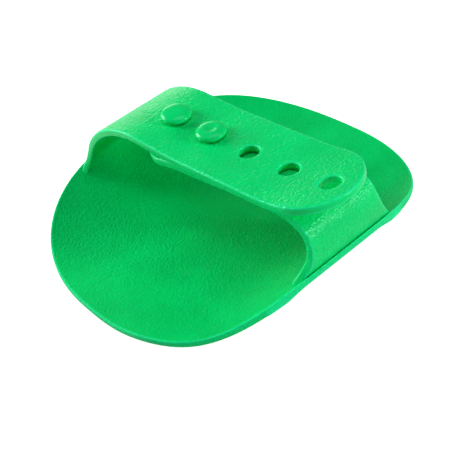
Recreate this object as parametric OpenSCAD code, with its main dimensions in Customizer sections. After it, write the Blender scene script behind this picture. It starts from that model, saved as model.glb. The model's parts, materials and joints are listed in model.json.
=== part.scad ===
/* [Pad] */
// Length of the oval pad, front to back
pad_len = 147; // [110:1:190]
// Width of the oval pad as the straps hold it
pad_wid = 134; // [105:1:170]
// Thickness of the pad sheet
pad_t = 3; // [2:0.1:5]
// Squareness of the oval: 2 is an ellipse
pad_square = 2.6; // [2:0.1:3.5]
// Height that the straps pull the two long edges up
edge_rise = 15.8; // [6:0.2:24]
// Width of the bent strip along the left edge
left_run = 56; // [40:1:60]
// Width of the bent strip along the right edge
right_run = 34; // [28:1:50]

/* [Teeth] */
// Height of the teeth under the pad
tooth_h = 3.5; // [2:0.1:7]
// Depth of the scallop between two teeth
scallop_h = 2.2; // [1:0.1:1.9]
// Spacing of the teeth along a ring
tooth_pitch = 5; // [4:0.2:8]
// Flat left on each tooth's tip
tip_land = 1.4; // [0.8:0.1:2]
// Width of a ring at the pad
ring_base = 3.4; // [2.4:0.1:4.5]
// Width of a ring at the tips
ring_tip = 1.4; // [1:0.1:2.2]
// Distance from the pad's edge to the outer ring
ring_inset = 17; // [12:0.5:20]
// Size of the innermost ring, as a share of the outer one
inner_share = 0.25; // [0.2:0.01:0.3]

/* [Straps] */
// Width of the outer strap
outer_w = 38; // [30:1:44]
// Width of the inner strap
inner_w = 34.5; // [28:0.5:42]
// Thickness of both straps
strap_t = 3.3; // [2.4:0.1:4.5]
// Extra width of the outer strap at its root, on each side
outer_flare = 0.5; // [0.5:0.1:3]
// Extra width of the inner strap at its root, on the near side
near_flare = 0.8; // [0.5:0.1:3]
// Extra width of the inner strap at its root, on the far side
far_flare = 6; // [2:0.5:7]
// Height over which a strap narrows from its root
flare_h = 15; // [8:1:17]
// Height of the loop: pad edge to the outer face of the outer strap
loop_h = 26.6; // [23:0.2:40]
// Slope of the outer strap as it leaves the pad
rise_angle = 53; // [45:1:60]
// Radius of the outer strap's bend, at its outer face
crown_r = 44; // [36:1:48]
// Slope of the outer strap just past the bend
crown_drop = 5; // [2:0.5:6]
// Length that the outer strap falls at that slope
drop_len = 12; // [6:1:16]
// Radius of the long easing curve past that fall
ease_r = 150; // [120:5:220]
// Length of the level part of the outer strap
level_len = 33.9; // [26:0.1:44]
// Radius of the curve that lifts the outer strap's free end
lift_r = 100; // [70:5:160]
// Slope of the outer strap's free end
lift_angle = 8.5; // [3:0.5:14]
// Outward lean of the inner strap at its root
inner_lean = 14; // [6:1:17]
// Radius of the inner strap's tight bend, at its outer face
bend_r = 11; // [8:0.5:13]
// Turn of that tight bend
bend_turn = 55; // [45:1:65]
// Radius of the inner strap's wide bend, at its outer face
shoulder_r = 22; // [18:1:26]
// Length of the inner strap's level part
inner_level = 15; // [10:1:20]
// Slope at which the inner strap falls past its level part
inner_droop = 1.5; // [0.5:0.25:2.5]
// Further slope of the inner strap's free tip, which curls down
tip_curl = 8; // [2:0.5:9]
// Angle of the outer strap to the pad's cross axis
outer_skew = 3.9; // [0:0.1:6]
// Angle of the inner strap to the pad's cross axis
inner_skew = 5.4; // [0:0.1:8]

/* [Studs and holes] */
// Diameter of the strap holes
hole_d = 8; // [6:0.2:10]
// Spacing of the holes, and of the two studs
hole_pitch = 20; // [17:0.5:22]
// Place of the stud pair's middle, from the pad's cross centre
buckle_x = -5.6; // [-7:0.1:-3]
// Place of the stud pair's middle, front to back
buckle_y = -3.8; // [-6:0.1:6]
// Length of the outer strap past its last hole
outer_end = 10; // [9:0.5:16]
// Length of the inner strap past its last stud
inner_end = 11; // [9:0.5:16]
// Diameter of a stud's head
head_d = 12.4; // [11:0.2:14]
// Height of a stud's head
head_h = 3.4; // [3:0.1:5]
// Rounding of the head's edge
head_round = 1.5; // [0.8:0.1:1.5]
// Radius of the hollow in the second head's top
dimple_r = 3; // [2:0.1:3.6]
// Depth of that hollow
dimple_depth = 0.9; // [0.4:0.1:1.4]

/* [Clearances] */
// Gap between faces that lie or turn on each other
play = 0.4; // [0.3:0.05:0.6]
// Gap between the tooth rings and the pad's curved underside
ring_seat = 0.12; // [0.1:0.01:0.2]
// Gap between a stud's foot and the inner strap
stud_seat = 0.2; // [0.15:0.05:0.3]
// Gap all round a stud's shank in its hole
shank_play = 0.3; // [0.3:0.05:0.6]

/* [Hidden] */
RING_COUNT = 5;
HOLE_COUNT = 5;
STUD_COUNT = 2;
ARC_STEP = 3;        // degrees between two stations on a bend
OVAL_STEPS = 120;    // sides of the pad's outline
TABLE_STEPS = 180;   // stations that measure a ring's length
FLARE_STEPS = 8;
DROOP_R = 150;       // radius of the slight curve into the inner strap's fall
CURL_R = 90;         // radius of the curve into its tip
HEAD_STEPS = 6;
FN = 96;
RUBBER = "limegreen";

under_z = tooth_h;                 // flat part of the pad's underside
floor_z = tooth_h + pad_t;         // flat part of the pad's top
edge_z = floor_z + edge_rise;      // top of the long edges
left_x = -pad_wid / 2;
right_x = pad_wid / 2;

// ---- paths: a station is [x, z, heading], a leg is [length, turn] ----
function step(s, leg) =
    leg[1] == 0
    ? [s[0] + leg[0] * cos(s[2]), s[1] + leg[0] * sin(s[2]), s[2]]
    : let (r = leg[0] * 180 / (PI * leg[1]), h = s[2] + leg[1])
      [s[0] + r * (sin(h) - sin(s[2])), s[1] - r * (cos(h) - cos(s[2])), h];
function part_of(leg, f) = [leg[0] * f, leg[1] * f];
function splits(leg) = max(1, ceil(abs(leg[1]) / ARC_STEP));
function stations(s, legs, i = 0) =
    i == len(legs) ? [s]
    : concat(
        [for (k = [0:splits(legs[i]) - 1]) step(s, part_of(legs[i], k / splits(legs[i])))],
        stations(step(s, legs[i]), legs, i + 1)
    );
// Station at a distance d along the legs
function along(s, legs, d, i = 0) =
    i == len(legs) - 1 || d <= legs[i][0]
    ? step(s, part_of(legs[i], d / legs[i][0]))
    : along(step(s, legs[i]), legs, d - legs[i][0], i + 1);
// Legs cut off at a distance d, and legs from a distance d on
function first_legs(legs, d, i = 0) =
    d <= legs[i][0] ? [part_of(legs[i], d / legs[i][0])]
    : concat([legs[i]], first_legs(legs, d - legs[i][0], i + 1));
function later_legs(legs, d, i = 0) =
    d < legs[i][0]
    ? concat([part_of(legs[i], 1 - d / legs[i][0])], [for (k = [i + 1:1:len(legs) - 1]) legs[k]])
    : later_legs(legs, d - legs[i][0], i + 1);
function beside(s, d) = [s[0] - d * sin(s[2]), s[1] + d * cos(s[2])];
function strip(st, up, down) =
    concat([for (s = st) beside(s, up)], [for (i = [len(st) - 1:-1:0]) beside(st[i], -down)]);
function arc_len(r, turn) = r * PI * abs(turn) / 180;

// ---- pad section: its top face, from the left edge to the right edge ----
left_r = (left_run * left_run + edge_rise * edge_rise) / (2 * edge_rise);
left_turn = asin(left_run / left_r);
right_r = (right_run * right_run + edge_rise * edge_rise) / (2 * edge_rise);
right_turn = asin(right_run / right_r);
flat_from = left_x + left_run;
flat_to = right_x - right_run;
// Slope and height of the top face at a place across the pad
function slope_at(x) =
    x < flat_from ? -asin(min(1, (flat_from - x) / left_r))
    : x > flat_to ? asin(min(1, (x - flat_to) / right_r)) : 0;
function top_z(x) =
    x < flat_from ? floor_z + left_r * (1 - cos(slope_at(x)))
    : x > flat_to ? floor_z + right_r * (1 - cos(slope_at(x))) : floor_z;
// Underside: parallel to the top face at the sheet's thickness
function under_x(x) = x + pad_t * sin(slope_at(x));
function under_face(x) = top_z(x) - pad_t * cos(slope_at(x));

// ---- oval outline ----
function power(v, p) = v == 0 ? 0 : sign(v) * pow(abs(v), p);
function oval(a, b, t) =
    [a * power(cos(t), 2 / pad_square), b * power(sin(t), 2 / pad_square)];

// ---- outer strap: root barrel, rise, bend, fall, level part, lifted end ----
half_t = strap_t / 2;
// Centre of a root barrel that lies on the pad's top face at a place across the pad
function seat(x) =
    [x - (half_t + play) * sin(slope_at(x)), top_z(x) + (half_t + play) * cos(slope_at(x))];
outer_root = concat(seat(left_x + 3), [rise_angle]);
crown_mid = crown_r - half_t;
ease_mid = ease_r + half_t;
lift_mid = lift_r + half_t;
crown_turn = rise_angle + crown_drop;
bend_rise = crown_mid * (cos(crown_drop) - cos(rise_angle));
fall = drop_len * sin(crown_drop) + ease_mid * (1 - cos(crown_drop));
rise_len = (edge_z + loop_h - half_t - outer_root[1] - bend_rise + fall) / sin(rise_angle);
hole_x0 = buckle_x - hole_pitch / 2;
outer_fixed = [
    [rise_len, 0],
    [arc_len(crown_mid, crown_turn), -crown_turn],
    [drop_len, 0],
    [arc_len(ease_mid, crown_drop), crown_drop],
    [level_len, 0],
    [arc_len(lift_mid, lift_angle), lift_angle]
];
// Distance along the outer strap to the first hole
drop_start = rise_len + outer_fixed[1][0];
hole_s0 = drop_start
    + (hole_x0 - along(outer_root, outer_fixed, drop_start)[0]) / cos(crown_drop);
outer_len = hole_s0 + (HOLE_COUNT - 1) * hole_pitch + outer_end;
function total(legs, i = 0) = i == len(legs) ? 0 : legs[i][0] + total(legs, i + 1);
outer_legs = concat(outer_fixed, [[outer_len + 5 - total(outer_fixed), 0]]);
function hole_station(i) = along(outer_root, outer_legs, hole_s0 + i * hole_pitch);
function outer_y(x) = buckle_y + tan(outer_skew) * (x - buckle_x);
tip_x = along(outer_root, outer_legs, outer_len)[0];
// The fold hinge lies halfway round the bend
fold_s = rise_len + outer_fixed[1][0] * 0.4;
fold = along(outer_root, outer_legs, fold_s);

// ---- inner strap: laid out from the right root leftwards, then mirrored ----
inner_seat = seat(right_x - 1.5);
inner_root_x = inner_seat[0];
inner_root_z = inner_seat[1];
bend_mid = bend_r - half_t;
shoulder_mid = shoulder_r - half_t;
shoulder_turn = 90 - bend_turn;
// Its level part runs one gap below the outer strap's inner face
inner_level_z = edge_z + loop_h - strap_t - play - half_t;
inner_rise = inner_level_z - inner_root_z - bend_mid * sin(bend_turn)
    - shoulder_mid * (1 - cos(shoulder_turn));
lean_r = inner_rise / sin(inner_lean);
inner_tip_x = hole_x0 - inner_end;
inner_root = [-inner_root_x, inner_root_z, 90 + inner_lean];
rise_legs = [
    [arc_len(lean_r, inner_lean), -inner_lean],
    [arc_len(bend_mid, bend_turn), -bend_turn],
    [arc_len(shoulder_mid, shoulder_turn), -shoulder_turn]
];
// Past its wide bend the strap is level, then falls away from the outer strap
flat_start = step(step(step(inner_root, rise_legs[0]), rise_legs[1]), rise_legs[2]);
to_curl = -(hole_x0 + hole_pitch) - flat_start[0] - inner_level - arc_len(DROOP_R, inner_droop);
flat_legs = [
    [inner_level, 0],
    [arc_len(DROOP_R, inner_droop), -inner_droop],
    [to_curl, 0],
    [arc_len(CURL_R, tip_curl), -tip_curl],
    [hole_pitch + inner_end, 0]
];
inner_legs = concat(rise_legs, flat_legs);
function inner_y(x) = buckle_y + tan(inner_skew) * (x - buckle_x);

// Puts the middle of the whole object's width at x = 0
frame_x = -(left_x + tip_x) / 2;

// ---- shared solids ----
// Profile in the XZ plane, made solid along Y
module slab(points) {
    rotate([90, 0, 0]) linear_extrude(2 * pad_len, center = true) polygon(points);
}
module barrel(s, r, y, length) {
    translate([s[0], y, s[1]]) rotate([90, 0, 0]) cylinder(h = length, r = r, center = true, $fn = FN);
}
// Plan of a strap: a band with a round end, from far beyond its root to its tip
module band(width, skew, dir, tip) {
    reach = abs(tip - buckle_x) / cos(skew) - width / 2;
    translate([buckle_x, buckle_y, 0]) rotate([0, 0, skew]) scale_x(dir) {
        translate([-pad_wid, -width / 2, 0]) cube([pad_wid + reach, width, pad_len]);
        translate([reach, 0, 0]) cylinder(h = pad_len, d = width, $fn = FN);
    }
}
module scale_x(dir) {
    if (dir > 0) children();
    else mirror([1, 0, 0]) children();
}
// Front view of a root: wide at the pad, narrowing upwards, by its own amount on each side
function flare(width, extra, f) = width / 2 - 1 + (extra + 1) * pow(1 - f, 2);
module flared(width, near, far, x, y) {
    shares = [for (i = [0:FLARE_STEPS]) i / FLARE_STEPS];
    far_side = [for (f = shares) [flare(width, far, f), flare_h * f]];
    near_side = [for (i = [FLARE_STEPS:-1:0]) [-flare(width, near, shares[i]), flare_h * shares[i]]];
    foot = [[-width / 2 - near, -2 * strap_t], [width / 2 + far, -2 * strap_t]];
    translate([x, y, edge_z + half_t]) rotate([90, 0, 90])
        linear_extrude(pad_wid / 4, center = true) polygon(concat(far_side, near_side, foot));
}

// ---- pad ----
module pad_sheet() {
    // The strip ends square at both edges, a little inside the outline's widest place
    start = [left_x, edge_z, -left_turn];
    legs = [
        [arc_len(left_r, left_turn), left_turn],
        [flat_to - flat_from, 0],
        [arc_len(right_r, right_turn), right_turn]
    ];
    outline = [
        for (i = [0:OVAL_STEPS - 1]) oval(pad_wid / 2 + 0.2, pad_len / 2, i * 360 / OVAL_STEPS)
    ];
    color(RUBBER) intersection() {
        slab(strip(stations(start, legs), 0, pad_t));
        linear_extrude(pad_len) polygon(outline);
    }
}

// ---- teeth: each ring is one scalloped ridge that follows the underside ----
function ring_share(k) = 1 - (1 - inner_share) * (k - 1) / (RING_COUNT - 1);
function ring_a(k) = (pad_wid / 2 - ring_inset) * ring_share(k);
function ring_b(k) = (pad_len / 2 - ring_inset) * ring_share(k);
function ring_table(k, i = 0, s = 0) =
    i > TABLE_STEPS ? []
    : let (
        p = oval(ring_a(k), ring_b(k), i * 360 / TABLE_STEPS),
        q = oval(ring_a(k), ring_b(k), (i + 1) * 360 / TABLE_STEPS)
      )
      concat([[s, i * 360 / TABLE_STEPS]], ring_table(k, i + 1, s + norm(q - p)));
// One corner of a ridge: a plan point on the pad, and how far below the pad
function ridge_point(p, h) =
    let (a = slope_at(p[0]))
    [p[0] + (pad_t + h) * sin(a), p[1], top_z(p[0]) - (pad_t + h) * cos(a)];
function ridge_ring(p, out, h) = [
    ridge_point(p + out * ring_base / 2, ring_seat),
    ridge_point(p - out * ring_base / 2, ring_seat),
    ridge_point(p, h) - [out[0], out[1], 0] * ring_tip / 2,
    ridge_point(p, h) + [out[0], out[1], 0] * ring_tip / 2
];
module tooth_ring(k) {
    table = ring_table(k);
    length = table[TABLE_STEPS][0];
    count = round(length / tooth_pitch);
    pitch = length / count;
    // Along one tooth: both ends of its tip, then both ends of the scallop's floor
    marks = [[0, tooth_h], [tip_land, tooth_h],
             [pitch * 0.55, tooth_h - scallop_h], [pitch * 0.72, tooth_h - scallop_h]];
    rings = [
        for (i = [0:count - 1]) for (m = marks)
            let (
                s = (i * pitch + m[0] - tip_land / 2 + length) % length,
                t = lookup(s, table),
                p = oval(ring_a(k), ring_b(k), t),
                q = oval(ring_a(k), ring_b(k), t + 0.5),
                d = (q - p) / norm(q - p)
            )
            ridge_ring(p, [d[1], -d[0]], m[1])
    ];
    n = len(rings);
    points = [for (r = rings) for (v = r) v];
    faces = [
        for (i = [0:n - 1]) for (j = [0:3])
            let (a = i * 4, b = ((i + 1) % n) * 4, e = (j + 1) % 4)
            each [[a + j, a + e, b + e], [a + j, b + e, b + j]]
    ];
    color(RUBBER) polyhedron(points, faces, convexity = 10);
}

// ---- outer strap ----
module outer_strap_riser() {
    y = outer_y(outer_root[0]);
    color(RUBBER) difference() {
        union() {
            intersection() {
                slab(strip(stations(outer_root, first_legs(outer_legs, fold_s)), half_t, half_t));
                union() {
                    band(outer_w, outer_skew, 1, tip_x);
                    flared(outer_w, outer_flare, outer_flare, outer_root[0], y);
                }
            }
            barrel(outer_root, half_t, y, outer_w + 2 * outer_flare);
        }
        barrel(fold, half_t + play, 0, 2 * pad_len);
    }
}
module outer_strap_span() {
    color(RUBBER) difference() {
        intersection() {
            union() {
                slab(strip(stations(fold, later_legs(outer_legs, fold_s)), half_t, half_t));
                barrel(fold, half_t, 0, pad_len);
            }
            band(outer_w, outer_skew, 1, tip_x);
        }
        for (i = [0:HOLE_COUNT - 1])
            at_hole(i) cylinder(h = 4 * strap_t, d = hole_d, center = true, $fn = FN);
    }
}
// Stands a child upright on the outer strap's middle at hole i
module at_hole(i) {
    s = hole_station(i);
    translate([s[0], outer_y(s[0]), s[1]]) rotate([0, -s[2], 0]) children();
}

// ---- inner strap ----
module inner_strap() {
    y = inner_y(inner_root_x);
    color(RUBBER) union() {
        intersection() {
            mirror([1, 0, 0]) slab(strip(stations(inner_root, inner_legs), half_t, half_t));
            union() {
                band(inner_w, inner_skew, -1, inner_tip_x);
                flared(inner_w, near_flare, far_flare, inner_root_x, y);
            }
        }
        root_mid = y + (far_flare - near_flare) / 2;
        barrel([inner_root_x, inner_root_z], half_t, root_mid, inner_w + near_flare + far_flare);
    }
}

// ---- studs ----
shank_d = hole_d - 2 * shank_play;
under_head = half_t + play;
// A stud in hole i; its shank reaches down to the inner strap's outer face
module stud_body(i) {
    difference() {
        at_hole(i) {
            translate([0, 0, -2 * shank_d]) cylinder(h = under_head + 2 * shank_d, d = shank_d, $fn = FN);
            translate([0, 0, under_head]) rotate_extrude($fn = FN) polygon(head_profile());
        }
        mirror([1, 0, 0]) slab(strip(stations(flat_start, flat_legs), half_t + stud_seat, 4 * shank_d));
    }
}
// Half of the head: flat below, rounded at its edge, gently domed on top
function head_profile() =
    let (r = head_d / 2, e = head_round, rim_h = head_h - e * 0.6)
    concat(
        [[0, 0], [r - e, 0]],
        [for (i = [1:HEAD_STEPS]) [r - e + e * sin(90 * i / HEAD_STEPS), e - e * cos(90 * i / HEAD_STEPS)]],
        [for (i = [1:HEAD_STEPS]) let (t = 90 * i / HEAD_STEPS) [r * cos(t), e + (head_h - e) * sin(t)]]
    );
module stud_domed() {
    color(RUBBER) stud_body(0);
}
module stud_dimpled() {
    // Radius of the ball that cuts a hollow of that width and depth
    ball_r = (dimple_r * dimple_r + dimple_depth * dimple_depth) / (2 * dimple_depth);
    ball_z = under_head + head_h - dimple_depth + ball_r;
    color(RUBBER) difference() {
        stud_body(1);
        at_hole(1) translate([0, 0, ball_z]) sphere(r = ball_r, $fn = FN);
    }
}

// Moves every piece to the object's own frame
module placed() {
    translate([frame_x, 0, 0]) children();
}
placed() pad_sheet();
for (k = [1:RING_COUNT])
    placed() tooth_ring(k);
placed() outer_strap_riser();
placed() outer_strap_span();
placed() inner_strap();
placed() stud_domed();
placed() stud_dimpled();
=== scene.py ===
"""Soft rubber hand pad with two straps that button over the back of the hand."""

import json
import math

import bpy
import numpy as np
from mathutils import Matrix, Vector

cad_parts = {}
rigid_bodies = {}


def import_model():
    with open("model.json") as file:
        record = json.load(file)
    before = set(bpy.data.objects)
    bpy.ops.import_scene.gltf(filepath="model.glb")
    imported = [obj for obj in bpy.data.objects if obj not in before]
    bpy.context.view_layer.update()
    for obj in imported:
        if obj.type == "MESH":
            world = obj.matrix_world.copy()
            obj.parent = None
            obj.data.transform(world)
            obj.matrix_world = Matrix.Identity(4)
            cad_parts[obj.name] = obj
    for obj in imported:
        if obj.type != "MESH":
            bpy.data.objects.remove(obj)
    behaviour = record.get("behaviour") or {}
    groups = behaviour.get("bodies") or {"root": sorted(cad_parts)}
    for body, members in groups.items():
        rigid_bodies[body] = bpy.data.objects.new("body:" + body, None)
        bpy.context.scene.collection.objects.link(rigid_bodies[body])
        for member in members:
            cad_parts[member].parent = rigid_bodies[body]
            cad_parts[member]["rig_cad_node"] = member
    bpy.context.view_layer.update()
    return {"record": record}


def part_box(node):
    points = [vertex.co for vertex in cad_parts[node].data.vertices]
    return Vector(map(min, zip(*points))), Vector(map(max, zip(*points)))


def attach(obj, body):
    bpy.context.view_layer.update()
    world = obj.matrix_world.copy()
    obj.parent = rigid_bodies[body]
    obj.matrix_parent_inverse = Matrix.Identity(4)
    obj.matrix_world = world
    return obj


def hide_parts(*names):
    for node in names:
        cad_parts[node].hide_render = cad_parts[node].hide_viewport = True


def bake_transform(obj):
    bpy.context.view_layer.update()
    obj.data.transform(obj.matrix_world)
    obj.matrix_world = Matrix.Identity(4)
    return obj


bl_info = {
    "name": "Rubber hand pad",
    "version": (1, 0, 0),
    "blender": (4, 5, 0),
    "location": "3D View > Sidebar > Hand Pad",
    "description": "Builds the looks of a toothed rubber hand pad over its CAD frame",
    "category": "Object",
}

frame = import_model()
MM = 0.001
RING_NODES = [f"tooth_ring_{k}" for k in range(1, 6)]
JOINTS = {j["name"]: j for j in frame["record"]["behaviour"]["joints"]}
PAD_LOW, PAD_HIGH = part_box("pad_sheet")
PAD_X = (PAD_LOW.x + PAD_HIGH.x) / 2
EDGE_Z = PAD_HIGH.z
HALF_WID = (PAD_HIGH.x - PAD_LOW.x) / 2
HALF_LEN = (PAD_HIGH.y - PAD_LOW.y) / 2


# ---------------------------------------------------------------- settings
def length(name, about, default):
    return bpy.props.FloatProperty(
        name=name, description=about, default=default, min=0, unit="LENGTH", precision=5
    )


def turn(name, about, degrees):
    return bpy.props.FloatProperty(
        name=name, description=about, default=math.radians(degrees), subtype="ANGLE"
    )


def number(name, about, default):
    return bpy.props.FloatProperty(
        name=name, description=about, default=default, min=0, subtype="FACTOR"
    )


def shade(name, about, default):
    return bpy.props.FloatVectorProperty(
        name=name, description=about, default=default, size=4, subtype="COLOR", min=0, max=1
    )


class PadSettings(bpy.types.PropertyGroup):
    """Sizes of the oval pad"""

    thickness: length("Thickness", "Thickness of the pad's sheet", 0.003)
    squareness: number("Squareness", "Power of the oval: 2 is an ellipse", 2.55)
    rise: length("Rise", "Height that the straps pull the long edges up", 0.0158)
    left_power: number("Left power", "How late the left side starts to rise", 2.7)
    right_power: number("Right power", "How late the right side starts to rise", 5.3)
    end_lift: length("End lift", "Height that the near end curls up", 0.0029)
    rim_round: length("Rim rounding", "Width of the rim's rounded edge", 0.0009)
    rim_wall: number("Rim wall", "Tallest upright wall beside the straps, in thicknesses", 1.1)


class StrapSettings(bpy.types.PropertyGroup):
    """Sizes of the two straps"""

    thickness: length("Thickness", "Thickness of a strap", 0.0033)
    outer_width: length("Outer width", "Width of the outer strap", 0.038)
    inner_width: length("Inner width", "Width of the inner strap", 0.0345)
    outer_flare: length("Outer flare", "Extra width at the outer root, each side", 0.0045)
    outer_flare_h: length("Outer flare height", "Length of the outer root's flare", 0.010)
    near_flare: length("Near flare", "Extra width at the inner root, near side", 0.0075)
    near_flare_h: length("Near flare height", "Length of that near flare", 0.008)
    far_flare: length("Far flare", "Extra width at the inner root, far side", 0.0085)
    far_flare_h: length("Far flare height", "Length of that far flare", 0.015)
    foot: length("Foot", "Length of strap sunk into the pad at a root", 0.0012)
    sink: length("Sink", "Depth that a fillet's thin end sinks into the pad", 0.0022)
    spread: length("Spread", "Distance that a root stands further out than its hinge", 0.0006)
    follow: length("Follow", "Length of strap that follows the oval rim", 0.012)
    hole: length("Hole", "Diameter of a strap hole", 0.008)
    pitch: length("Hole pitch", "Spacing of the holes", 0.020)
    voxel: length("Voxel", "Size of the mesh that rounds a strap's edges", 0.00045)
    grain: length("Grain", "Height of the moulded grain", 0.0001)
    grain_size: length("Grain size", "Size of a pebble of the grain", 0.0009)


class StudSettings(bpy.types.PropertyGroup):
    """Sizes of the two mushroom studs"""

    shank_r: length("Shank radius", "Radius of a stud's shank", 0.0037)
    head_r: length("Head radius", "Radius of a stud's head", 0.0062)
    head_h: length("Head height", "Height of a stud's head", 0.0034)
    edge: length("Edge", "Rounding under the rim of a head", 0.0015)
    hollow: length("Hollow", "Depth of the hollow in the second stud's head", 0.0009)
    hollow_r: length("Hollow radius", "Radius of that hollow", 0.003)


class RubberSettings(bpy.types.PropertyGroup):
    """Colours of the rubber, with painted shade on the pad and a painted highlight on convex edges,
    and tints of its reflections
    """

    face: shade("Rubber", "Main colour of the straps and the studs", (0.0008, 0.78, 0.19, 1))
    # Tone of the straps' random mottling, and painted shade: the pad's main colour, darker than the
    # straps' though it is the same rubber
    mottle_and_pad_shade: shade("Deep tone", "Straps' mottling, pad's main colour", (0.0006, 0.66, 0.148, 1))
    # Painted shade: the darker tone of the pad's mottling
    darker_pad_shade: shade("Dark tone", "Darker tone in the mottling of the pad", (0.0004, 0.54, 0.112, 1))
    # Painted highlight: a paler tone on convex edges, standing in for the bright lines that light
    # draws along them
    edge_highlight: shade("Worn edge", "Paler tone on rubbed edges", (0.012, 0.88, 0.32, 1))
    sheen: shade("Sheen", "Tint of the satin rubber's reflection", (0.1, 1.0, 0.7, 1))
    glint: shade("Glint", "Tint of the glossier rubber's reflection", (0.3, 1.0, 0.7, 1))


class StageSettings(bpy.types.PropertyGroup):
    """Camera, light and floor"""

    azimuth: turn("Azimuth", "Camera's turn about the upright axis", 57.995)
    elevation: turn("Elevation", "Camera's height angle", 39.70)
    roll: turn("Roll", "Camera's roll", -13.97)
    distance: length("Distance", "Camera's distance from its target", 0.36843)
    lens: bpy.props.FloatProperty(
        name="Lens", description="Focal length on a 36 mm sensor", default=72.376, unit="CAMERA"
    )
    target: bpy.props.FloatVectorProperty(
        name="Target",
        description="Point that the camera looks at",
        default=(PAD_X + 0.00825, -0.00963, EDGE_Z - 0.01294),
        subtype="TRANSLATION",
        unit="LENGTH",
    )
    floor: shade("Floor", "Colour of the floor", (0.8, 0.8, 0.8, 1))
    backdrop: number("Backdrop", "Glow that whitens the floor behind the object", 0.9)
    sky: number("Sky", "Strength of the even light from all round", 0.12)
    top: number("Top light", "Power of the light overhead, in watts", 3.4)
    left: number("Left light", "Power of the light off the left, in watts", 10.5)
    side: number("Side light", "Power of the low light off the right side, in watts", 4.2)
    back: number("Back light", "Power of the low light behind, in watts", 0.6)


# ---------------------------------------------------------------- helpers
def fresh(obj_name):
    """The object a primitive operator just made, named, alone in the selection"""
    obj = bpy.context.object
    obj.name = obj_name
    obj.data.name = obj_name
    return obj


def deselect():
    bpy.ops.object.select_all(action="DESELECT")


def activate(obj):
    deselect()
    obj.select_set(True)
    bpy.context.view_layer.objects.active = obj


def coords(obj):
    co = np.empty(len(obj.data.vertices) * 3)
    obj.data.vertices.foreach_get("co", co)
    return co.reshape(-1, 3)


def set_coords(obj, co):
    obj.data.vertices.foreach_set("co", np.asarray(co, float).ravel())
    obj.data.update()


def add_modifier(obj, kind, **values):
    """Adds a modifier, sets it up and applies it at once"""
    activate(obj)
    mod = obj.modifiers.new(kind.title(), kind)
    for key, value in values.items():
        setattr(mod, key, value)
    bpy.ops.object.modifier_apply(modifier=mod.name)


def outward(obj):
    """Recalculates the normals to point outwards"""
    activate(obj)
    bpy.ops.object.mode_set(mode="EDIT")
    bpy.ops.mesh.select_all(action="SELECT")
    bpy.ops.mesh.normals_make_consistent(inside=False)
    bpy.ops.object.mode_set(mode="OBJECT")


def smooth(obj, degrees=40):
    activate(obj)
    bpy.ops.object.shade_smooth_by_angle(angle=math.radians(degrees))


def finish_piece(obj, body, nodes, material):
    """Rides the piece on its body, hides the CAD nodes it stands for, and names its finish"""
    if not obj.data.materials:
        obj.data.materials.append(material)
    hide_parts(*nodes)
    if body:
        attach(obj, body)


def smoothstep(low, high, v):
    t = np.clip((v - low) / (high - low), 0, 1)
    return t * t * (3 - 2 * t)


class Path:
    """A strap's centre line in the XZ plane, as straight and round legs"""

    def __init__(self, start, legs):
        x, z, h = start
        self.legs = []
        s = 0.0
        for leg_len, leg_turn in legs:
            self.legs.append((s, x, z, h, math.radians(leg_turn) / leg_len))
            x, z, h = (float(v) for v in self._step(self.legs[-1], leg_len))
            s += leg_len
        self.total, self.end = s, (x, z, h)

    @staticmethod
    def _step(leg, d):
        """x, z and heading at a distance d along one leg, which starts at x, z, h and bends by k"""
        _, x, z, h, k = leg
        if abs(k) < 1e-9:
            return x + d * np.cos(h), z + d * np.sin(h), h + 0 * np.asarray(d)
        return (
            x + (np.sin(h + k * d) - np.sin(h)) / k,
            z - (np.cos(h + k * d) - np.cos(h)) / k,
            h + k * d,
        )

    def at(self, s):
        """x, z and heading at distances s along the path, which is straight before its start"""
        s = np.atleast_1d(np.asarray(s, float))
        out = np.array(self._step((*self.legs[0][:4], 0.0), s))
        for leg in self.legs:
            here = s >= leg[0]
            out[:, here] = self._step(leg, s[here] - leg[0])
        return out


def arc(radius, degrees):
    return (radius * math.radians(abs(degrees)), degrees)


# ---------------------------------------------------------------- shape of the pad
# Cells of the pad's grid each way, and the step over which its slope is taken
GRID, STEP = 112, 0.1 * MM
# The dish rises no further than this, in half widths from the middle
DISH_LIMIT = 1.02
# The near end's curl: where it starts along the pad, its place and width across it, its least share
CURL_FROM, CURL_PLACE, CURL_WIDTH, CURL_LEAST = 0.25, 0.52, 0.25, 0.4
# Towards the ends the rim's wall may grow taller: from where, up to where, by how many thicknesses
WALL_FROM, WALL_FULL, WALL_GROWTH = 18 * MM, 34 * MM, 0.6
# Lengths of the two arcs that raise the CAD pad's sides, left and right
CAD_ARCS = ((56 * MM, -1), (34 * MM, 1))
# Rounding of the teeth's edges, and the distance within which points count as one
TOOTH_ROUND, MERGE = 0.25 * MM, 0.01 * MM


def outline_radius(theta, a, b, power):
    """Distance from the middle of an oval to its edge"""
    c, s = np.abs(np.cos(theta)), np.abs(np.sin(theta))
    return ((c / a) ** power + (s / b) ** power) ** (-1 / power)


def pad_top(x, y, pad):
    """Height of the pad's top face"""
    u = (x - PAD_X) / HALF_WID
    power = np.where(u < 0, pad.left_power, pad.right_power)
    dish = EDGE_Z - pad.rise * (1 - np.minimum(np.abs(u), DISH_LIMIT) ** power)
    near = np.clip((-y / HALF_LEN - CURL_FROM) / (1 - CURL_FROM), 0, 1)
    # The near end curls up most a little to the right of its middle
    curl = CURL_LEAST + (1 - CURL_LEAST) * np.exp(-(((u - CURL_PLACE) / CURL_WIDTH) ** 2))
    return dish + pad.end_lift * near**2 * curl


def rim_half(y, pad):
    """Half of the pad's width at a place along it"""
    share = np.minimum(np.abs(y) / HALF_LEN, 1) ** pad.squareness
    return HALF_WID * (1 - share) ** (1 / pad.squareness)


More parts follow.
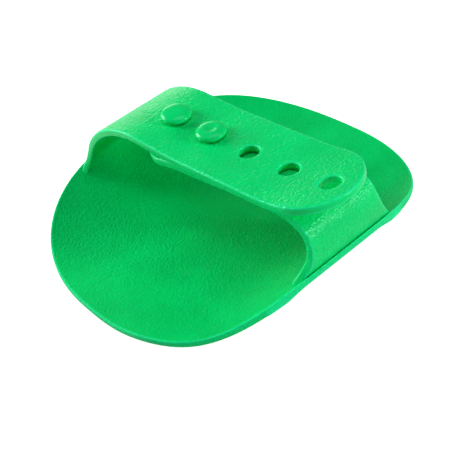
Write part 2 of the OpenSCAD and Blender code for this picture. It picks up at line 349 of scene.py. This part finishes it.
def square_to_polar(sx, sy):
    """Turns a square grid's points into rings: a share of the radius, and an angle"""
    share = np.maximum(np.abs(sx), np.abs(sy))
    wide = np.abs(sx) >= np.abs(sy)
    across = np.where(sx == 0, 1, sx)
    along = np.where(wide, 1, sy)
    angle = np.where(
        wide,
        np.pi / 4 * sy / across + np.where(sx < 0, np.pi, 0),
        np.pi / 2 - np.pi / 4 * sx / along + np.where(sy < 0, np.pi, 0),
    )
    return share, angle


def cad_top(x, pad):
    """Height of the CAD pad's top face: a flat middle and two arcs"""
    out = np.full(np.shape(x), EDGE_Z - pad.rise)
    for run, side in CAD_ARCS:
        r = (run**2 + pad.rise**2) / (2 * pad.rise)
        d = np.clip((x - PAD_X) * side - (HALF_WID - run), 0, run)
        out = out + r - np.sqrt(r * r - d * d)
    return out


class HANDPAD_OT_pad(bpy.types.Operator):
    """Build the oval pad: a curved sheet with a rounded rim"""

    bl_idname = "handpad.pad"
    bl_label = "Oval pad"

    def execute(self, context):
        pad = context.scene.handpad_pad
        deselect()
        bpy.ops.mesh.primitive_grid_add(x_subdivisions=GRID, y_subdivisions=GRID, size=2)
        obj = fresh("oval_pad")
        co = coords(obj)
        share, theta = square_to_polar(co[:, 0], co[:, 1])
        reach = share * outline_radius(theta, HALF_WID, HALF_LEN, pad.squareness)
        x = PAD_X + reach * np.cos(theta)
        y = reach * np.sin(theta)
        set_coords(obj, np.stack([x, y, pad_top(x, y, pad)], 1))
        activate(obj)
        bpy.ops.object.mode_set(mode="EDIT")
        bpy.ops.mesh.select_all(action="SELECT")
        bpy.ops.mesh.extrude_region_move(TRANSFORM_OT_translate={"value": (0, 0, -pad.thickness)})
        bpy.ops.object.mode_set(mode="OBJECT")
        # The underside lies at the sheet's thickness, so the rim's wall is upright
        co = coords(obj)
        x, y = co[:, 0], co[:, 1]
        top = pad_top(x, y, pad)
        slope = (pad_top(x + STEP, y, pad) - pad_top(x - STEP, y, pad)) / (2 * STEP)
        below = co[:, 2] < top - pad.thickness / 2
        # The wall has the sheet's whole slanting thickness, up to a cap that grows to the ends
        cap = pad.rim_wall + WALL_GROWTH * smoothstep(WALL_FROM, WALL_FULL, np.abs(y))
        depth = pad.thickness * np.minimum(np.sqrt(1 + slope**2), cap)
        co[:, 2] = np.where(below, top - depth, top)
        set_coords(obj, co)
        add_modifier(
            obj, "BEVEL", width=pad.rim_round, segments=4, limit_method="ANGLE",
            angle_limit=math.radians(55), use_clamp_overlap=False,
        )
        outward(obj)
        smooth(obj, 50)
        mask = obj.data.attributes.new("grain", "FLOAT", "POINT")
        mask.data.foreach_set("value", np.ones(len(obj.data.vertices), np.float32))
        finish_piece(obj, "pad", ["pad_sheet"], bpy.data.materials["Rubber satin"])
        return {"FINISHED"}


class HANDPAD_OT_teeth(bpy.types.Operator):
    """Build the scalloped rings of teeth under the pad"""

    bl_idname = "handpad.teeth"
    bl_label = "Rings of teeth"

    def execute(self, context):
        pad = context.scene.handpad_pad
        for i, ring in enumerate(RING_NODES):
            deselect()
            source = next(o for o in bpy.data.objects if o.get("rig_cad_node") and o.name == ring)
            bpy.ops.mesh.primitive_cube_add(size=1)
            obj = fresh(f"teeth_ring_{i + 1}")
            obj.data = source.data.copy()
            obj.data.name = obj.name
            obj.data.materials.clear()
            co = coords(obj)
            x, y = co[:, 0], co[:, 1]
            co[:, 2] += pad_top(x, y, pad) - cad_top(x, pad)
            set_coords(obj, co)
            activate(obj)
            bpy.ops.object.mode_set(mode="EDIT")
            bpy.ops.mesh.select_all(action="SELECT")
            bpy.ops.mesh.remove_doubles(threshold=MERGE)
            bpy.ops.mesh.normals_make_consistent(inside=False)
            bpy.ops.object.mode_set(mode="OBJECT")
            add_modifier(
                obj, "BEVEL", width=TOOTH_ROUND, segments=2, limit_method="ANGLE",
                angle_limit=math.radians(35),
            )
            smooth(obj, 40)
            finish_piece(obj, "pad", [ring], bpy.data.materials["Rubber satin"])
        return {"FINISHED"}


# ---------------------------------------------------------------- straps
BUCKLE_X = PAD_X - 5.6 * MM
BUCKLE_Y = -3.8 * MM
LOOP_H = 26.6 * MM
PLAY = 0.4 * MM
OUTER_SKEW = math.radians(3.9)
INNER_SKEW = math.radians(5.4)
# The outer strap rises, turns over its crown, drops, eases to level, and lifts at its free end
RISE_ANGLE, DROP, LIFT_TURN = 53.0, 5.0, 8.5
CROWN_R, EASE_R, LIFT_R = 44 * MM, 150 * MM, 100 * MM
DROP_LEN, LEVEL_LEN, OUTER_END = 12 * MM, 33.9 * MM, 10 * MM
# The bend over the fold's joint: its place in the crown's turn, and its reach each way
FOLD_SHARE, FOLD_REACH = 0.4, 14 * MM
# The inner strap leans out, turns twice, runs level, droops, and curls down at its tip
LEAN, BEND_TURN, SHOULDER_TURN, INNER_DROOP, TIP_CURL = 14.0, 55.0, 35.0, 1.5, 8.0
BEND_R, SHOULDER_R, DROOP_R, CURL_R = 11 * MM, 22 * MM, 150 * MM, 90 * MM
INNER_LEVEL, INNER_END = 15 * MM, 11 * MM
# A last straight leg, longer than either strap's end
LAST_LEG = 60 * MM
HOLES = 5
# Points of the flat outline along a flare, along a straight side and round a tip
FLARE_ROWS, SIDE_ROWS, TIP_ROWS = 30, 40, 72
PATH_SAMPLES = 6000
# Heights at which the outer face's mask starts and is full, in thicknesses from the middle
FACE_FROM, FACE_FULL = 0.36, 0.47
# The inner strap's far flare stands on the rim, and keeps only this share of the sink
FAR_SINK = 0.3


def outer_path(strap):
    """The outer strap's centre line, from its left root to past its free end"""
    half = strap.thickness / 2
    root = JOINTS["outer_strap_root"]["pos_m"]
    crown, ease = CROWN_R - half, EASE_R + half
    bend_rise = crown * (math.cos(math.radians(DROP)) - math.cos(math.radians(RISE_ANGLE)))
    fall = DROP_LEN * math.sin(math.radians(DROP)) + ease * (1 - math.cos(math.radians(DROP)))
    rise = (EDGE_Z + LOOP_H - half - root[2] - bend_rise + fall) / math.sin(
        math.radians(RISE_ANGLE)
    )
    legs = [
        (rise, 0),
        arc(crown, -(RISE_ANGLE + DROP)),
        (DROP_LEN, 0),
        arc(ease, DROP),
        (LEVEL_LEN, 0),
        arc(LIFT_R + half, LIFT_TURN),
        (LAST_LEG, 0),
    ]
    return Path((root[0], root[2], math.radians(RISE_ANGLE)), legs)


def inner_path(strap):
    """The inner strap's centre line, laid out leftwards from the right root and mirrored in x"""
    half = strap.thickness / 2
    root = JOINTS["inner_strap_root"]["pos_m"]
    bend, shoulder = BEND_R - half, SHOULDER_R - half
    level_z = EDGE_Z + LOOP_H - strap.thickness - PLAY - half
    up = (
        level_z - root[2] - bend * math.sin(math.radians(BEND_TURN))
        - shoulder * (1 - math.cos(math.radians(SHOULDER_TURN)))
    )
    lean_r = up / math.sin(math.radians(LEAN))
    start = (-root[0], root[2], math.radians(90 + LEAN))
    legs = [arc(lean_r, -LEAN), arc(bend, -BEND_TURN), arc(shoulder, -SHOULDER_TURN)]
    flat_x = Path(start, legs).end[0]
    droop = arc(DROOP_R, -INNER_DROOP)
    to_curl = -(BUCKLE_X + strap.pitch / 2) - flat_x - INNER_LEVEL - droop[0]
    legs += [(INNER_LEVEL, 0), droop, (to_curl, 0), arc(CURL_R, -TIP_CURL), (LAST_LEG, 0)]
    return Path(start, legs)


def s_at_x(path, x):
    """Distance along a path at which it reaches x"""
    s = np.linspace(-5 * MM, path.total, PATH_SAMPLES)
    xs = path.at(s)[0]
    return float(np.interp(x, xs, s)) if xs[0] < xs[-1] else float(np.interp(-x, -xs, s))


def strap_side(width, flare, s_end, strap):
    """One side of a strap's flat outline, from its sunk foot to its round tip"""
    extra, height, is_fillet = flare
    rows = np.linspace(-strap.foot, height, FLARE_ROWS)
    f = np.clip(rows / height, 0, 1)
    narrowing = 1 - np.sqrt(1 - (1 - f) ** 2) if is_fillet else (1 - f) ** 2
    side = list(zip(rows, width / 2 + extra * narrowing))
    return side + [(s, width / 2) for s in np.linspace(height, s_end, SIDE_ROWS)[1:-1]]


def strap_outline(width, skew, flares, s_tip_centre, tip_heading, strap):
    """Flat outline: distance along the strap, and place across it from its middle"""
    slant = math.cos(skew)
    tip = []
    for phi in np.linspace(math.pi / 2, -math.pi / 2, TIP_ROWS):
        along = width / 2 * (math.cos(phi) * math.cos(skew) - math.sin(phi) * math.sin(skew))
        s_tip = s_tip_centre + along / math.cos(tip_heading)
        tip.append((s_tip, width / 2 * math.sin(phi) / slant))
    far, near = (strap_side(width / slant, flare, s_tip_centre, strap) for flare in flares)
    far = [p for p in far if p[0] < tip[0][0] - MERGE]
    near = [(s, -v) for s, v in near if s < tip[-1][0] - MERGE]
    return far + tip + near[::-1]


def flat_solid(obj_name, outline, thickness, holes, hole_d):
    """Solid plate of a given outline, with round holes, lying flat about z = 0"""
    deselect()
    bpy.ops.mesh.primitive_circle_add(vertices=len(outline), radius=1, fill_type="NGON")
    obj = fresh(obj_name)
    set_coords(obj, [(s, v, -thickness / 2) for s, v in outline])
    bpy.ops.object.mode_set(mode="EDIT")
    bpy.ops.mesh.select_all(action="SELECT")
    bpy.ops.mesh.extrude_region_move(TRANSFORM_OT_translate={"value": (0, 0, thickness)})
    bpy.ops.mesh.select_all(action="SELECT")
    bpy.ops.mesh.normals_make_consistent(inside=False)
    bpy.ops.object.mode_set(mode="OBJECT")
    if holes:
        deselect()
        drills = []
        for s, v in holes:
            bpy.ops.mesh.primitive_cylinder_add(
                vertices=64, radius=hole_d / 2, depth=thickness * 3, location=(s, v, 0)
            )
            drills.append(bpy.context.object)
        for d in drills:
            d.select_set(True)
        bpy.ops.object.join()
        drill = bpy.context.object
        add_modifier(obj, "BOOLEAN", operation="DIFFERENCE", object=drill, solver="EXACT")
        bpy.data.objects.remove(drill)
    return obj


def bend_strap(obj, path, width, skew, mirrored, strap, pad):
    """Rounds the flat strap, puts grain on its outer face, then bends it along its path"""
    thickness = strap.thickness
    add_modifier(obj, "REMESH", mode="VOXEL", voxel_size=strap.voxel, adaptivity=0.0)
    add_modifier(obj, "SMOOTH", factor=0.5, iterations=7)
    co = coords(obj)
    outer_face = smoothstep(thickness * FACE_FROM, thickness * FACE_FULL, co[:, 2])
    face = obj.vertex_groups.new(name="outer_face")
    for level in range(1, 11):
        which = np.nonzero(np.round(outer_face * 10) == level)[0]
        if len(which):
            face.add(which.tolist(), level / 10, "REPLACE")
    grain = bpy.data.textures.new(obj.name + "_grain", "CLOUDS")
    grain.noise_scale = strap.grain_size
    grain.noise_depth = 1
    add_modifier(
        obj, "DISPLACE", texture=grain, texture_coords="LOCAL", direction="Z", mid_level=0.5,
        strength=strap.grain * 4, vertex_group="outer_face",
    )
    co = coords(obj)
    x, z, h = path.at(co[:, 0])
    centre = -x if mirrored else x
    y = BUCKLE_Y + math.tan(skew) * (centre - BUCKLE_X) + co[:, 1]
    px = x - co[:, 2] * np.sin(h)
    pz = z + co[:, 2] * np.cos(h)
    # Near its root the strap follows the oval rim, which curves inwards and down
    side = 1 if mirrored else -1
    weight = 1 - smoothstep(0, strap.follow, co[:, 0])
    rim = rim_half(y, pad)
    px = (-px if mirrored else px) - side * (HALF_WID - rim - strap.spread) * weight
    pz = pz + (pad_top(PAD_X + side * rim, y, pad) - EDGE_Z) * weight
    # A fillet's thin end sinks into the pad, and the inner strap's far flare mostly stays above it
    across = co[:, 1]
    reach = np.where(across > 0, across.max(), -across.min()) - width / 2
    beyond = np.maximum(np.abs(across) - width / 2, 0) / reach
    pz = pz - strap.sink * beyond**2 * np.where((across > 0) & mirrored, FAR_SINK, 1.0)
    set_coords(obj, np.stack([px, y, pz], 1))
    mask = obj.data.attributes.new("grain", "FLOAT", "POINT")
    mask.data.foreach_set("value", outer_face.astype(np.float32))
    outward(obj)
    activate(obj)
    bpy.ops.object.shade_smooth()


class HANDPAD_OT_straps(bpy.types.Operator):
    """Build the outer strap with its five holes, and the inner strap under it"""

    bl_idname = "handpad.straps"
    bl_label = "Straps"

    def execute(self, context):
        strap, pad = context.scene.handpad_strap, context.scene.handpad_pad
        outer = outer_path(strap)
        first = s_at_x(outer, BUCKLE_X - strap.pitch / 2)
        holes = [(first + i * strap.pitch, 0.0) for i in range(HOLES)]
        tip_centre = holes[-1][0] + OUTER_END - strap.outer_width / 2
        flares = ((strap.outer_flare, strap.outer_flare_h, True),) * 2
        shape = strap_outline(
            strap.outer_width, OUTER_SKEW, flares, tip_centre, math.radians(LIFT_TURN), strap
        )
        obj = flat_solid("outer_strap", shape, strap.thickness, holes, strap.hole)
        bend_strap(obj, outer, strap.outer_width, OUTER_SKEW, False, strap, pad)
        pebbled = bpy.data.materials["Rubber pebbled"]
        finish_piece(obj, None, ["outer_strap_riser", "outer_strap_span"], pebbled)
        heading = math.radians(RISE_ANGLE - (RISE_ANGLE + DROP) * FOLD_SHARE)
        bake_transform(obj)

        tip_x = BUCKLE_X - strap.pitch / 2 - INNER_END
        inner = inner_path(strap)
        tip_s = s_at_x(inner, -tip_x)
        heading = float(inner.at(tip_s)[2][0])
        flares = (
            (strap.far_flare, strap.far_flare_h, False),
            (strap.near_flare, strap.near_flare_h, True),
        )
        shape = strap_outline(
            strap.inner_width, -INNER_SKEW, flares, tip_s - strap.inner_width / 2, heading, strap
        )
        obj = flat_solid("inner_strap_band", shape, strap.thickness, [], 0)
        bend_strap(obj, inner, strap.inner_width, INNER_SKEW, True, strap, pad)
        finish_piece(obj, "inner_strap_body", ["inner_strap"], pebbled)
        return {"FINISHED"}


# ---------------------------------------------------------------- studs
EDGE_ROWS, DOME_ROWS = 8, 18


def stud_profile(stud, seat, foot, has_hollow):
    """Radius and height from the foot's middle, out, up and back to the head's middle"""
    shank, head, edge = stud.shank_r, stud.head_r, stud.edge
    rows = [(0, foot), (shank * 0.6, foot), (shank, foot), (shank, 0), (shank, seat - 0.2 * MM)]
    rows += [(shank + 0.3 * MM, seat), (head - edge, seat)]
    for i in range(1, EDGE_ROWS + 1):
        a = math.radians(90 * i / EDGE_ROWS)
        rows.append((head - edge + edge * math.sin(a), seat + edge - edge * math.cos(a)))
    for i in range(1, DOME_ROWS + 1):
        r = head * math.cos(math.radians(90 * i / DOME_ROWS))
        z = seat + edge + (stud.head_h - edge) * max(0.0, 1 - (r / head) ** 3) ** 0.5
        if has_hollow:
            z -= stud.hollow * max(0.0, 1 - (r / stud.hollow_r) ** 2) ** 1.5
        rows.append((r, z))
    return rows


class HANDPAD_OT_studs(bpy.types.Operator):
    """Build the two mushroom studs that hold the straps together"""

    bl_idname = "handpad.studs"
    bl_label = "Studs"

    def execute(self, context):
        strap, stud = context.scene.handpad_strap, context.scene.handpad_stud
        outer, inner = outer_path(strap), inner_path(strap)
        first = s_at_x(outer, BUCKLE_X - strap.pitch / 2)
        pairs = (("stud_plain", "stud_domed"), ("stud_hollow", "stud_dimpled"))
        for i, (label, cad_node) in enumerate(pairs):
            x, z, h = (float(v[0]) for v in outer.at(first + i * strap.pitch))
            inner_z = float(inner.at(s_at_x(inner, -x))[1][0])
            # The foot reaches a little way into the inner strap
            foot = inner_z - z + strap.thickness / 4
            rows = stud_profile(stud, strap.thickness / 2 + PLAY, foot, has_hollow=i == 1)
            deselect()
            bpy.ops.mesh.primitive_uv_sphere_add(segments=72, ring_count=len(rows) - 1, radius=1)
            obj = fresh(label)
            co = coords(obj)
            order = np.round((np.arcsin(np.clip(co[:, 2], -1, 1)) / np.pi + 0.5) * (len(rows) - 1))
            profile = np.array(rows)[order.astype(int)]
            angle = np.arctan2(co[:, 1], co[:, 0])
            px, py = profile[:, 0] * np.cos(angle), profile[:, 0] * np.sin(angle)
            pole = np.abs(co[:, 2]) > 0.99999
            px[pole] = py[pole] = 0
            y = BUCKLE_Y + math.tan(OUTER_SKEW) * (x - BUCKLE_X)
            set_coords(
                obj,
                np.stack(
                    [
                        x + px * math.cos(h) - profile[:, 1] * math.sin(h),
                        y + py,
                        z + px * math.sin(h) + profile[:, 1] * math.cos(h),
                    ],
                    1,
                ),
            )
            outward(obj)
            smooth(obj, 50)
            finish_piece(obj, "inner_strap_body", [cad_node], bpy.data.materials["Rubber gloss"])
        return {"FINISHED"}


# ---------------------------------------------------------------- materials
def node(tree, kind, place, **values):
    """Adds a node, and sets each value on its socket or else on the node itself"""
    n = tree.nodes.new(kind)
    n.location = place
    for key, value in values.items():
        if key in n.inputs:
            n.inputs[key].default_value = value
        else:
            setattr(n, key, value)
    return n


def group(group_name, inputs, outputs):
    """Empty node group with named sockets"""
    g = bpy.data.node_groups.new(group_name, "ShaderNodeTree")
    for socket_name, kind, default in inputs:
        s = g.interface.new_socket(socket_name, in_out="INPUT", socket_type=kind)
        if default is not None:
            s.default_value = default
    for socket_name, kind in outputs:
        g.interface.new_socket(socket_name, in_out="OUTPUT", socket_type=kind)
    return g, node(g, "NodeGroupInput", (-900, 0)), node(g, "NodeGroupOutput", (900, 0))


def tone_group():
    """Mottled rubber colour with a painted highlight on its convex edges, and the roughness that
    goes with it
    """
    g, gi, go = group(
        "Rubber tone",
        [
            ("Face", "NodeSocketColor", None),
            ("Deep", "NodeSocketColor", None),
            ("Worn", "NodeSocketColor", None),
            ("Roughness", "NodeSocketFloat", 0.45),
            ("Wear", "NodeSocketFloat", 0.5),
        ],
        [("Colour", "NodeSocketColor"), ("Roughness", "NodeSocketFloat")],
    )
    where = node(g, "ShaderNodeTexCoord", (-900, -300))
    cloud = node(g, "ShaderNodeTexNoise", (-650, -200), Scale=45.0, Detail=3.0, Roughness=0.55)
    fine = node(g, "ShaderNodeTexNoise", (-650, -450), Scale=900.0, Detail=2.0, Roughness=0.6)
    # Painted highlight: convex edges, picked out by pointiness, are mixed towards the paler
    # highlight colour in place of the bright lines that light draws along them
    geo = node(g, "ShaderNodeNewGeometry", (-650, 250))
    edge = node(g, "ShaderNodeMapRange", (-400, 250))
    edge.inputs["From Min"].default_value = 0.505
    edge.inputs["From Max"].default_value = 0.545
    edge_highlight = node(g, "ShaderNodeMath", (-200, 250), operation="MULTIPLY")
    both = node(g, "ShaderNodeMath", (-400, -300), operation="MULTIPLY_ADD")
    both.inputs[1].default_value = 0.35
    spread = node(g, "ShaderNodeMapRange", (-200, -300))
    spread.inputs["From Min"].default_value = 0.45
    spread.inputs["From Max"].default_value = 0.85
    mix = node(g, "ShaderNodeMix", (100, 0), data_type="RGBA")
    highlight_mix = node(g, "ShaderNodeMix", (400, 0), data_type="RGBA")
    rough = node(g, "ShaderNodeMath", (400, -300), operation="MULTIPLY_ADD")
    rough.inputs[1].default_value = 0.08
    link = g.links.new
    link(where.outputs["Object"], cloud.inputs["Vector"])
    link(where.outputs["Object"], fine.inputs["Vector"])
    link(fine.outputs["Fac"], both.inputs[0])
    link(cloud.outputs["Fac"], both.inputs[2])
    link(both.outputs[0], spread.inputs["Value"])
    link(spread.outputs["Result"], mix.inputs["Factor"])
    link(gi.outputs["Face"], mix.inputs[6])
    link(gi.outputs["Deep"], mix.inputs[7])
    link(geo.outputs["Pointiness"], edge.inputs["Value"])
    link(edge.outputs["Result"], edge_highlight.inputs[0])
    link(gi.outputs["Wear"], edge_highlight.inputs[1])
    link(edge_highlight.outputs[0], highlight_mix.inputs["Factor"])
    link(mix.outputs[2], highlight_mix.inputs[6])
    link(gi.outputs["Worn"], highlight_mix.inputs[7])
    link(highlight_mix.outputs[2], go.inputs["Colour"])
    link(cloud.outputs["Fac"], rough.inputs[0])
    link(gi.outputs["Roughness"], rough.inputs[2])
    link(rough.outputs[0], go.inputs["Roughness"])
    return g


def relief_group():
    """Fine orange peel everywhere, and pebble grain where the mask says"""
    g, gi, go = group(
        "Rubber relief",
        [
            ("Peel", "NodeSocketFloat", 0.1),
            ("Grain", "NodeSocketFloat", 0.0),
            ("Mask", "NodeSocketFloat", 0.0),
        ],
        [("Normal", "NodeSocketVector")],
    )
    where = node(g, "ShaderNodeTexCoord", (-900, -300))
    peel = node(g, "ShaderNodeTexNoise", (-600, 100), Scale=1400.0, Detail=2.0)
    pebble = node(
        g, "ShaderNodeTexVoronoi", (-600, -200), feature="SMOOTH_F1", Scale=1150.0, Smoothness=0.6
    )
    wild = node(g, "ShaderNodeTexNoise", (-600, -500), Scale=800.0, Detail=2.0)
    total = node(g, "ShaderNodeMath", (-300, -300), operation="ADD")
    strength = node(g, "ShaderNodeMath", (-300, -500), operation="MULTIPLY")
    first = node(g, "ShaderNodeBump", (0, 100), Distance=0.00008)
    second = node(g, "ShaderNodeBump", (300, 0), Distance=0.0004)
    link = g.links.new
    for tex in (peel, pebble, wild):
        link(where.outputs["Object"], tex.inputs["Vector"])
    link(peel.outputs["Fac"], first.inputs["Height"])
    link(gi.outputs["Peel"], first.inputs["Strength"])
    link(pebble.outputs["Distance"], total.inputs[0])
    link(wild.outputs["Fac"], total.inputs[1])
    link(gi.outputs["Grain"], strength.inputs[0])
    link(gi.outputs["Mask"], strength.inputs[1])
    link(total.outputs[0], second.inputs["Height"])
    link(strength.outputs[0], second.inputs["Strength"])
    link(first.outputs["Normal"], second.inputs["Normal"])
    link(second.outputs["Normal"], go.inputs["Normal"])
    return g


def rubber(material_name, tone, relief, colours, rough, shine, sheen, highlight_amount, peel, grain):
    """A rubber material, whose colours are its main, its mottling's and its edges' painted
    highlight colour
    """
    face, mottle_and_pad_shade, edge_highlight = colours
    m = bpy.data.materials.new(material_name)
    m.use_nodes = True
    t = m.node_tree
    t.nodes.clear()
    out = node(t, "ShaderNodeOutputMaterial", (700, 0))
    bsdf = node(t, "ShaderNodeBsdfPrincipled", (400, 0))
    colour = node(t, "ShaderNodeGroup", (0, 200), node_tree=tone)
    shape = node(t, "ShaderNodeGroup", (0, -200), node_tree=relief)
    mask = node(t, "ShaderNodeAttribute", (-250, -200), attribute_name="grain")
    for socket, value in (
        ("Face", face), ("Deep", mottle_and_pad_shade), ("Worn", edge_highlight),
        ("Roughness", rough), ("Wear", highlight_amount),
    ):
        colour.inputs[socket].default_value = value
    shape.inputs["Peel"].default_value = peel
    shape.inputs["Grain"].default_value = grain
    bsdf.inputs["IOR"].default_value = 1.5
    bsdf.inputs["Specular IOR Level"].default_value = shine
    bsdf.inputs["Specular Tint"].default_value = sheen
    bsdf.inputs["Subsurface Weight"].default_value = 0.12
    bsdf.inputs["Subsurface Radius"].default_value = (0.2, 1.0, 0.5)
    bsdf.inputs["Subsurface Scale"].default_value = 0.002
    link = t.links.new
    link(mask.outputs["Fac"], shape.inputs["Mask"])
    link(colour.outputs["Colour"], bsdf.inputs["Base Color"])
    link(colour.outputs["Roughness"], bsdf.inputs["Roughness"])
    link(shape.outputs["Normal"], bsdf.inputs["Normal"])
    link(bsdf.outputs[0], out.inputs["Surface"])
    return m


class HANDPAD_OT_materials(bpy.types.Operator):
    """Make the rubber's materials"""

    bl_idname = "handpad.materials"
    bl_label = "Rubber"

    def execute(self, context):
        colours = context.scene.handpad_rubber
        tone, relief = tone_group(), relief_group()
        dull, bright = colours.sheen, colours.glint
        # Painted shade: the pad is the same rubber as the straps, but takes the darker tones
        # because its hollow lies in shade
        pad_shaded_tones = (colours.mottle_and_pad_shade, colours.darker_pad_shade, colours.edge_highlight)
        in_strap = (colours.face, colours.mottle_and_pad_shade, colours.edge_highlight)
        # Every material paints a paler highlight on its convex edges, and the studs get half as
        # much
        rubber(
            "Rubber satin", tone, relief, pad_shaded_tones,
            rough=0.36, shine=0.08, sheen=dull, highlight_amount=1.0, peel=0.6, grain=0.6,
        )
        rubber(
            "Rubber pebbled", tone, relief, in_strap,
            rough=0.24, shine=0.26, sheen=bright, highlight_amount=1.0, peel=0.3, grain=0.45,
        )
        rubber(
            "Rubber gloss", tone, relief, in_strap,
            rough=0.16, shine=0.35, sheen=bright, highlight_amount=0.5, peel=0.1, grain=0.0,
        )
        return {"FINISHED"}


# ---------------------------------------------------------------- stage
def aim(obj, place, target):
    obj.location = place
    obj.rotation_euler = (Vector(target) - Vector(place)).to_track_quat("-Z", "Y").to_euler()


def soft_light(light_name, direction, distance, size, watts, target=(0, 0, 20 * MM)):
    """A round soft light that stands off in a direction and shines at the target"""
    data = bpy.data.lights.new(light_name, "AREA")
    data.shape, data.size, data.energy = "DISK", size, watts
    obj = bpy.data.objects.new(light_name, data)
    bpy.context.scene.collection.objects.link(obj)
    aim(obj, Vector(direction).normalized() * distance + Vector(target), target)
    return obj


class HANDPAD_OT_stage(bpy.types.Operator):
    """Set the camera, the lights and the floor"""

    bl_idname = "handpad.stage"
    bl_label = "Stage"

    def execute(self, context):
        st = context.scene.handpad_stage
        deselect()
        bpy.ops.mesh.primitive_plane_add(size=6, location=(0, 0, 0))
        floor = fresh("floor")
        m = bpy.data.materials.new("Floor")
        m.use_nodes = True
        t = m.node_tree
        bsdf = t.nodes["Principled BSDF"]
        bsdf.inputs["Base Color"].default_value = st.floor
        bsdf.inputs["Roughness"].default_value = 0.9
        bsdf.inputs["Emission Color"].default_value = (1, 1, 1, 1)
        # Only the camera sees the floor's glow, so the backdrop is white and lights nothing
        rays = node(t, "ShaderNodeLightPath", (-600, 0))
        glow = node(t, "ShaderNodeMath", (-300, 0), operation="MULTIPLY")
        glow.inputs[1].default_value = st.backdrop
        t.links.new(rays.outputs["Is Camera Ray"], glow.inputs[0])
        t.links.new(glow.outputs[0], bsdf.inputs["Emission Strength"])
        # From below the floor is clear, so the underside can be looked at
        facing = node(t, "ShaderNodeNewGeometry", (300, 300))
        clear = node(t, "ShaderNodeBsdfTransparent", (300, -300))
        either = node(t, "ShaderNodeMixShader", (500, 0))
        t.links.new(facing.outputs["Backfacing"], either.inputs[0])
        t.links.new(bsdf.outputs[0], either.inputs[1])
        t.links.new(clear.outputs[0], either.inputs[2])
        t.links.new(either.outputs[0], t.nodes["Material Output"].inputs["Surface"])
        floor.data.materials.append(m)

        world = bpy.data.worlds.new("Studio")
        context.scene.world = world
        world.use_nodes = True
        background = world.node_tree.nodes["Background"]
        background.inputs["Color"].default_value = (1, 1, 1, 1)
        # The camera sees a white backdrop past the floor, and the object a faint even light
        rays = node(world.node_tree, "ShaderNodeLightPath", (-600, 0))
        seen = node(world.node_tree, "ShaderNodeMath", (-300, 0), operation="MULTIPLY_ADD")
        seen.inputs[1].default_value = 1 - st.sky
        seen.inputs[2].default_value = st.sky
        world.node_tree.links.new(rays.outputs["Is Camera Ray"], seen.inputs[0])
        world.node_tree.links.new(seen.outputs[0], background.inputs["Strength"])
        soft_light("Top light", (0.15, 0.1, 1.0), 1.0, 0.8, st.top)
        soft_light("Left light", (-0.8, -0.38, 0.42), 1.0, 0.6, st.left)
        soft_light("Side light", (0.88, 0.41, 0.25), 0.9, 0.13, st.side)
        soft_light("Back light", (-0.9, 0.42, 0.16), 0.9, 0.35, st.back)

        data = bpy.data.cameras.new("Camera")
        data.lens, data.sensor_width, data.sensor_fit = st.lens, 36.0, "HORIZONTAL"
        data.clip_start, data.clip_end = 0.01, 20
        cam = bpy.data.objects.new("Camera", data)
        context.scene.collection.objects.link(cam)
        a, e, r = st.azimuth, st.elevation, st.roll
        back = Vector((math.sin(a) * math.cos(e), -math.cos(a) * math.cos(e), math.sin(e)))
        level = Vector((math.cos(a), math.sin(a), 0))
        rise = back.cross(level)
        right = level * math.cos(r) + rise * math.sin(r)
        up = back.cross(right)
        place = Vector(st.target) + back * st.distance
        facing_back = Matrix((right, up, back)).transposed().to_4x4()
        cam.matrix_world = Matrix.Translation(place) @ facing_back
        context.scene.camera = cam
        context.scene.view_settings.view_transform = "Standard"
        return {"FINISHED"}


class HANDPAD_PT_panel(bpy.types.Panel):
    """Lists the settings and the pieces of the hand pad"""

    bl_label = "Rubber hand pad"
    bl_idname = "HANDPAD_PT_panel"
    bl_space_type = "VIEW_3D"
    bl_region_type = "UI"
    bl_category = "Hand Pad"

    def draw(self, context):
        for attribute, kind in GROUPS.items():
            box = self.layout.box()
            for prop in kind.__annotations__:
                box.prop(getattr(context.scene, attribute), prop)
        for step in STEPS:
            self.layout.operator(step.bl_idname)


GROUPS = {
    "handpad_pad": PadSettings,
    "handpad_strap": StrapSettings,
    "handpad_stud": StudSettings,
    "handpad_rubber": RubberSettings,
    "handpad_stage": StageSettings,
}
STEPS = (
    HANDPAD_OT_materials,
    HANDPAD_OT_pad,
    HANDPAD_OT_teeth,
    HANDPAD_OT_straps,
    HANDPAD_OT_studs,
    HANDPAD_OT_stage,
)


def register():
    for cls in (*GROUPS.values(), *STEPS, HANDPAD_PT_panel):
        bpy.utils.register_class(cls)
    for attribute, kind in GROUPS.items():
        setattr(bpy.types.Scene, attribute, bpy.props.PointerProperty(type=kind))


def unregister():
    for attribute in GROUPS:
        delattr(bpy.types.Scene, attribute)
    for cls in reversed((*GROUPS.values(), *STEPS, HANDPAD_PT_panel)):
        bpy.utils.unregister_class(cls)


def main():
    register()
    for step in STEPS:
        family, operator = step.bl_idname.split(".")
        getattr(getattr(bpy.ops, family), operator)()


if __name__ == "__main__":
    main()
